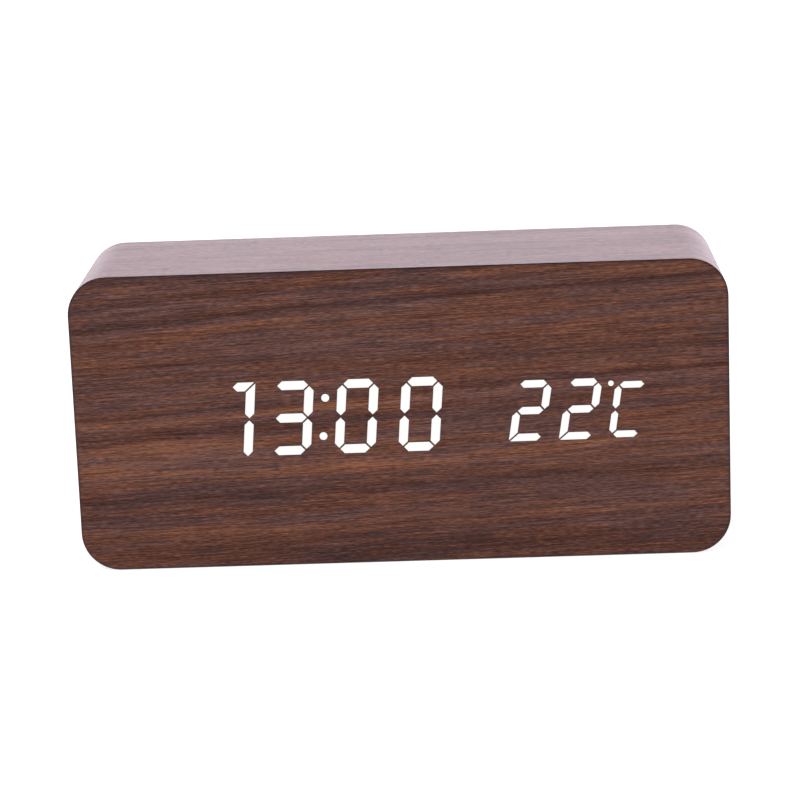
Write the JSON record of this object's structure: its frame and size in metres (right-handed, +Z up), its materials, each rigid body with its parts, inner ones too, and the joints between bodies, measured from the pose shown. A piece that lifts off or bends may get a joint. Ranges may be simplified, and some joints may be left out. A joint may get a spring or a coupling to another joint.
{
  "type": "digital led desk clock",
  "caption": "Desk clock: a film-wrapped wood block with a lit seven-segment time and temperature face, sprung buttons, a power inlet and a battery bay behind a hinged door.",
  "frame": {"origin": "under the middle of the base, on the surface that it stands on", "axes": "+X to the viewer's right across the face, +Y from the face to the back, +Z up"},
  "size_m": [0.152, 0.045, 0.07],
  "materials": {
    "wood_film": "satin wood-grain film",
    "fibreboard": "matte",
    "lit_stroke": "lit",
    "reflector_white": "matte",
    "clear_resin": "clear",
    "circuit_board": "satin",
    "lamp_chip": "gloss",
    "screw_steel": "bright",
    "cover_plastic": "fine texture",
    "cell_jacket": "printed jacket",
    "contact_nickel": "bright",
    "button_plastic": "satin",
    "switch_plastic": "matte",
    "jack_plastic": "gloss",
    "jack_pin_metal": "bright",
    "buzzer_plastic": "matte",
    "mic_can": "bright",
    "sensor_resin": "gloss",
    "chip_plastic": "matte",
    "crystal_can": "bright",
    "holder_plastic": "matte",
    "coin_cell": "bright",
    "connector_plastic": "matte",
    "ribbon_cable": "satin",
    "red_wire": "satin",
    "black_wire": "satin"
  },
  "bodies": {
    "case": {"front_veneer": "wood_film", "side_veneer": "wood_film", "base_veneer": "wood_film", "rear_veneer": "wood_film", "case_shell": "fibreboard", "lit_hour_tens": "lit_stroke", "lit_hour_units": "lit_stroke", "lit_colon": "lit_stroke", "lit_minute_tens": "lit_stroke", "lit_minute_units": "lit_stroke", "lit_temp_tens": "lit_stroke", "lit_temp_units": "lit_stroke", "lit_celsius": "lit_stroke", "reflector_block": "reflector_white", "time_segment_lenses": "clear_resin", "temp_segment_lenses": "clear_resin", "lamp_board": "circuit_board", "control_board": "circuit_board", "lamps": "lamp_chip", "display_screws": "screw_steel", "board_screws": "screw_steel", "rear_cover_screws": "screw_steel", "rear_cover": "cover_plastic", "battery_cells": "cell_jacket", "contact_plates": "contact_nickel", "contact_springs": "contact_nickel", "button_switches": "switch_plastic", "dc_jack": "jack_plastic", "dc_jack_pin": "jack_pin_metal", "buzzer": "buzzer_plastic", "microphone": "mic_can", "temperature_sensor": "sensor_resin", "controller_chip": "chip_plastic", "clock_crystal": "crystal_can", "cell_holder": "holder_plastic", "backup_cell": "coin_cell", "cable_connectors": "connector_plastic", "display_cable": "ribbon_cable", "positive_lead": "red_wire", "negative_lead": "black_wire"},
    "set_button_body": {"set_button": "button_plastic", "set_plunger": "switch_plastic"},
    "up_button_body": {"up_button": "button_plastic", "up_plunger": "switch_plastic"},
    "down_button_body": {"down_button": "button_plastic", "down_plunger": "switch_plastic"},
    "battery_door_body": {"battery_door": "cover_plastic"}
  },
  "joints": [
    {"name": "set_press", "type": "slide", "parent": "case", "child": "set_button_body", "axis": [0, -1, 0], "range_m": [0, 0.0005], "stiffness_N_per_m": 1000},
    {"name": "up_press", "type": "slide", "parent": "case", "child": "up_button_body", "axis": [0, -1, 0], "range_m": [0, 0.0005], "stiffness_N_per_m": 1000},
    {"name": "down_press", "type": "slide", "parent": "case", "child": "down_button_body", "axis": [0, -1, 0], "range_m": [0, 0.0005], "stiffness_N_per_m": 1000},
    {"name": "battery_door_swing", "type": "hinge", "parent": "case", "child": "battery_door_body", "pos_m": [-0.0374, 0.0209, 0.01225], "axis": [-1, 0, 0], "range_deg": [0, 70]}
  ]
}
